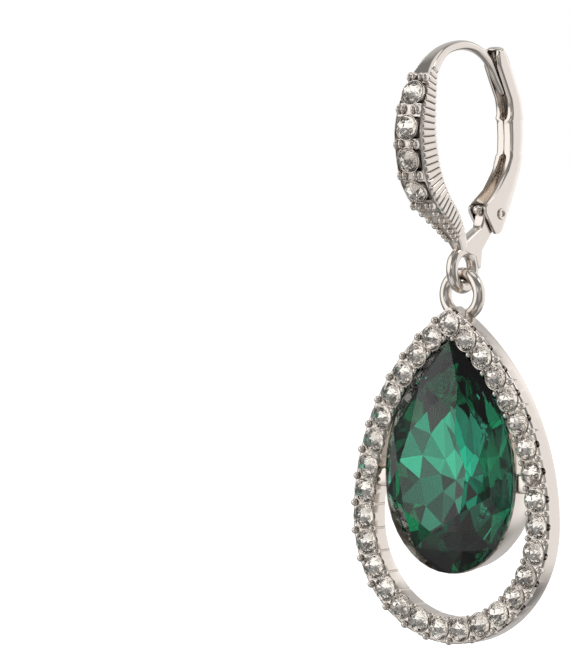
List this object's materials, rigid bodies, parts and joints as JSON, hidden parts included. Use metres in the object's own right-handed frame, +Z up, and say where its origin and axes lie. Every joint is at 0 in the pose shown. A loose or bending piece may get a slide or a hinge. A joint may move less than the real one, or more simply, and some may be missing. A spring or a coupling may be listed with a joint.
{
  "type": "teardrop earring",
  "caption": "Leverback drop earring: a ribbed hook set with small clear stones holds an open teardrop halo of clear stones around a large green pear-cut stone.",
  "frame": {"origin": "inside top of the ear wire's arch, where the earring hangs in the ear lobe", "axes": "+Z up as it hangs, the face looks along -Y, +X to the right seen from the front"},
  "size_m": [0.0206, 0.0153, 0.05],
  "materials": {
    "silver_plate": "polished warm silver plating",
    "clear_crystal": "clear cut crystal with a foil back",
    "emerald_crystal": "emerald green cut crystal with a foil back"
  },
  "bodies": {
    "hook": {"ear_hook": "silver_plate", "hinge_pin": "silver_plate", "hook_stone_1": "clear_crystal", "hook_stone_2": "clear_crystal", "hook_stone_3": "clear_crystal", "hook_stone_4": "clear_crystal"},
    "lever": {"lever": "silver_plate"},
    "drop": {"pendant_frame": "silver_plate", "pear_stone": "emerald_crystal", "halo_stone_01": "clear_crystal", "halo_stone_02": "clear_crystal", "halo_stone_03": "clear_crystal", "halo_stone_04": "clear_crystal", "halo_stone_05": "clear_crystal", "halo_stone_06": "clear_crystal", "halo_stone_07": "clear_crystal", "halo_stone_08": "clear_crystal", "halo_stone_09": "clear_crystal", "halo_stone_10": "clear_crystal", "halo_stone_11": "clear_crystal", "halo_stone_12": "clear_crystal", "halo_stone_13": "clear_crystal", "halo_stone_14": "clear_crystal", "halo_stone_15": "clear_crystal", "halo_stone_16": "clear_crystal", "halo_stone_17": "clear_crystal", "halo_stone_18": "clear_crystal", "halo_stone_19": "clear_crystal", "halo_stone_20": "clear_crystal", "halo_stone_21": "clear_crystal", "halo_stone_22": "clear_crystal", "halo_stone_23": "clear_crystal", "halo_stone_24": "clear_crystal", "halo_stone_25": "clear_crystal", "halo_stone_26": "clear_crystal", "halo_stone_27": "clear_crystal", "halo_stone_28": "clear_crystal", "halo_stone_29": "clear_crystal", "halo_stone_30": "clear_crystal", "halo_stone_31": "clear_crystal"}
  },
  "joints": [
    {"name": "lever_hinge", "type": "hinge", "parent": "hook", "child": "lever", "pos_m": [0, 0.00425, -0.0136], "axis": [-1, 0, 0], "range_deg": [0, 40]},
    {"name": "drop_swing", "type": "hinge", "parent": "hook", "child": "drop", "pos_m": [0, 0.0001, -0.01848], "axis": [1, 0, 0], "range_deg": [-80, 80]}
  ]
}
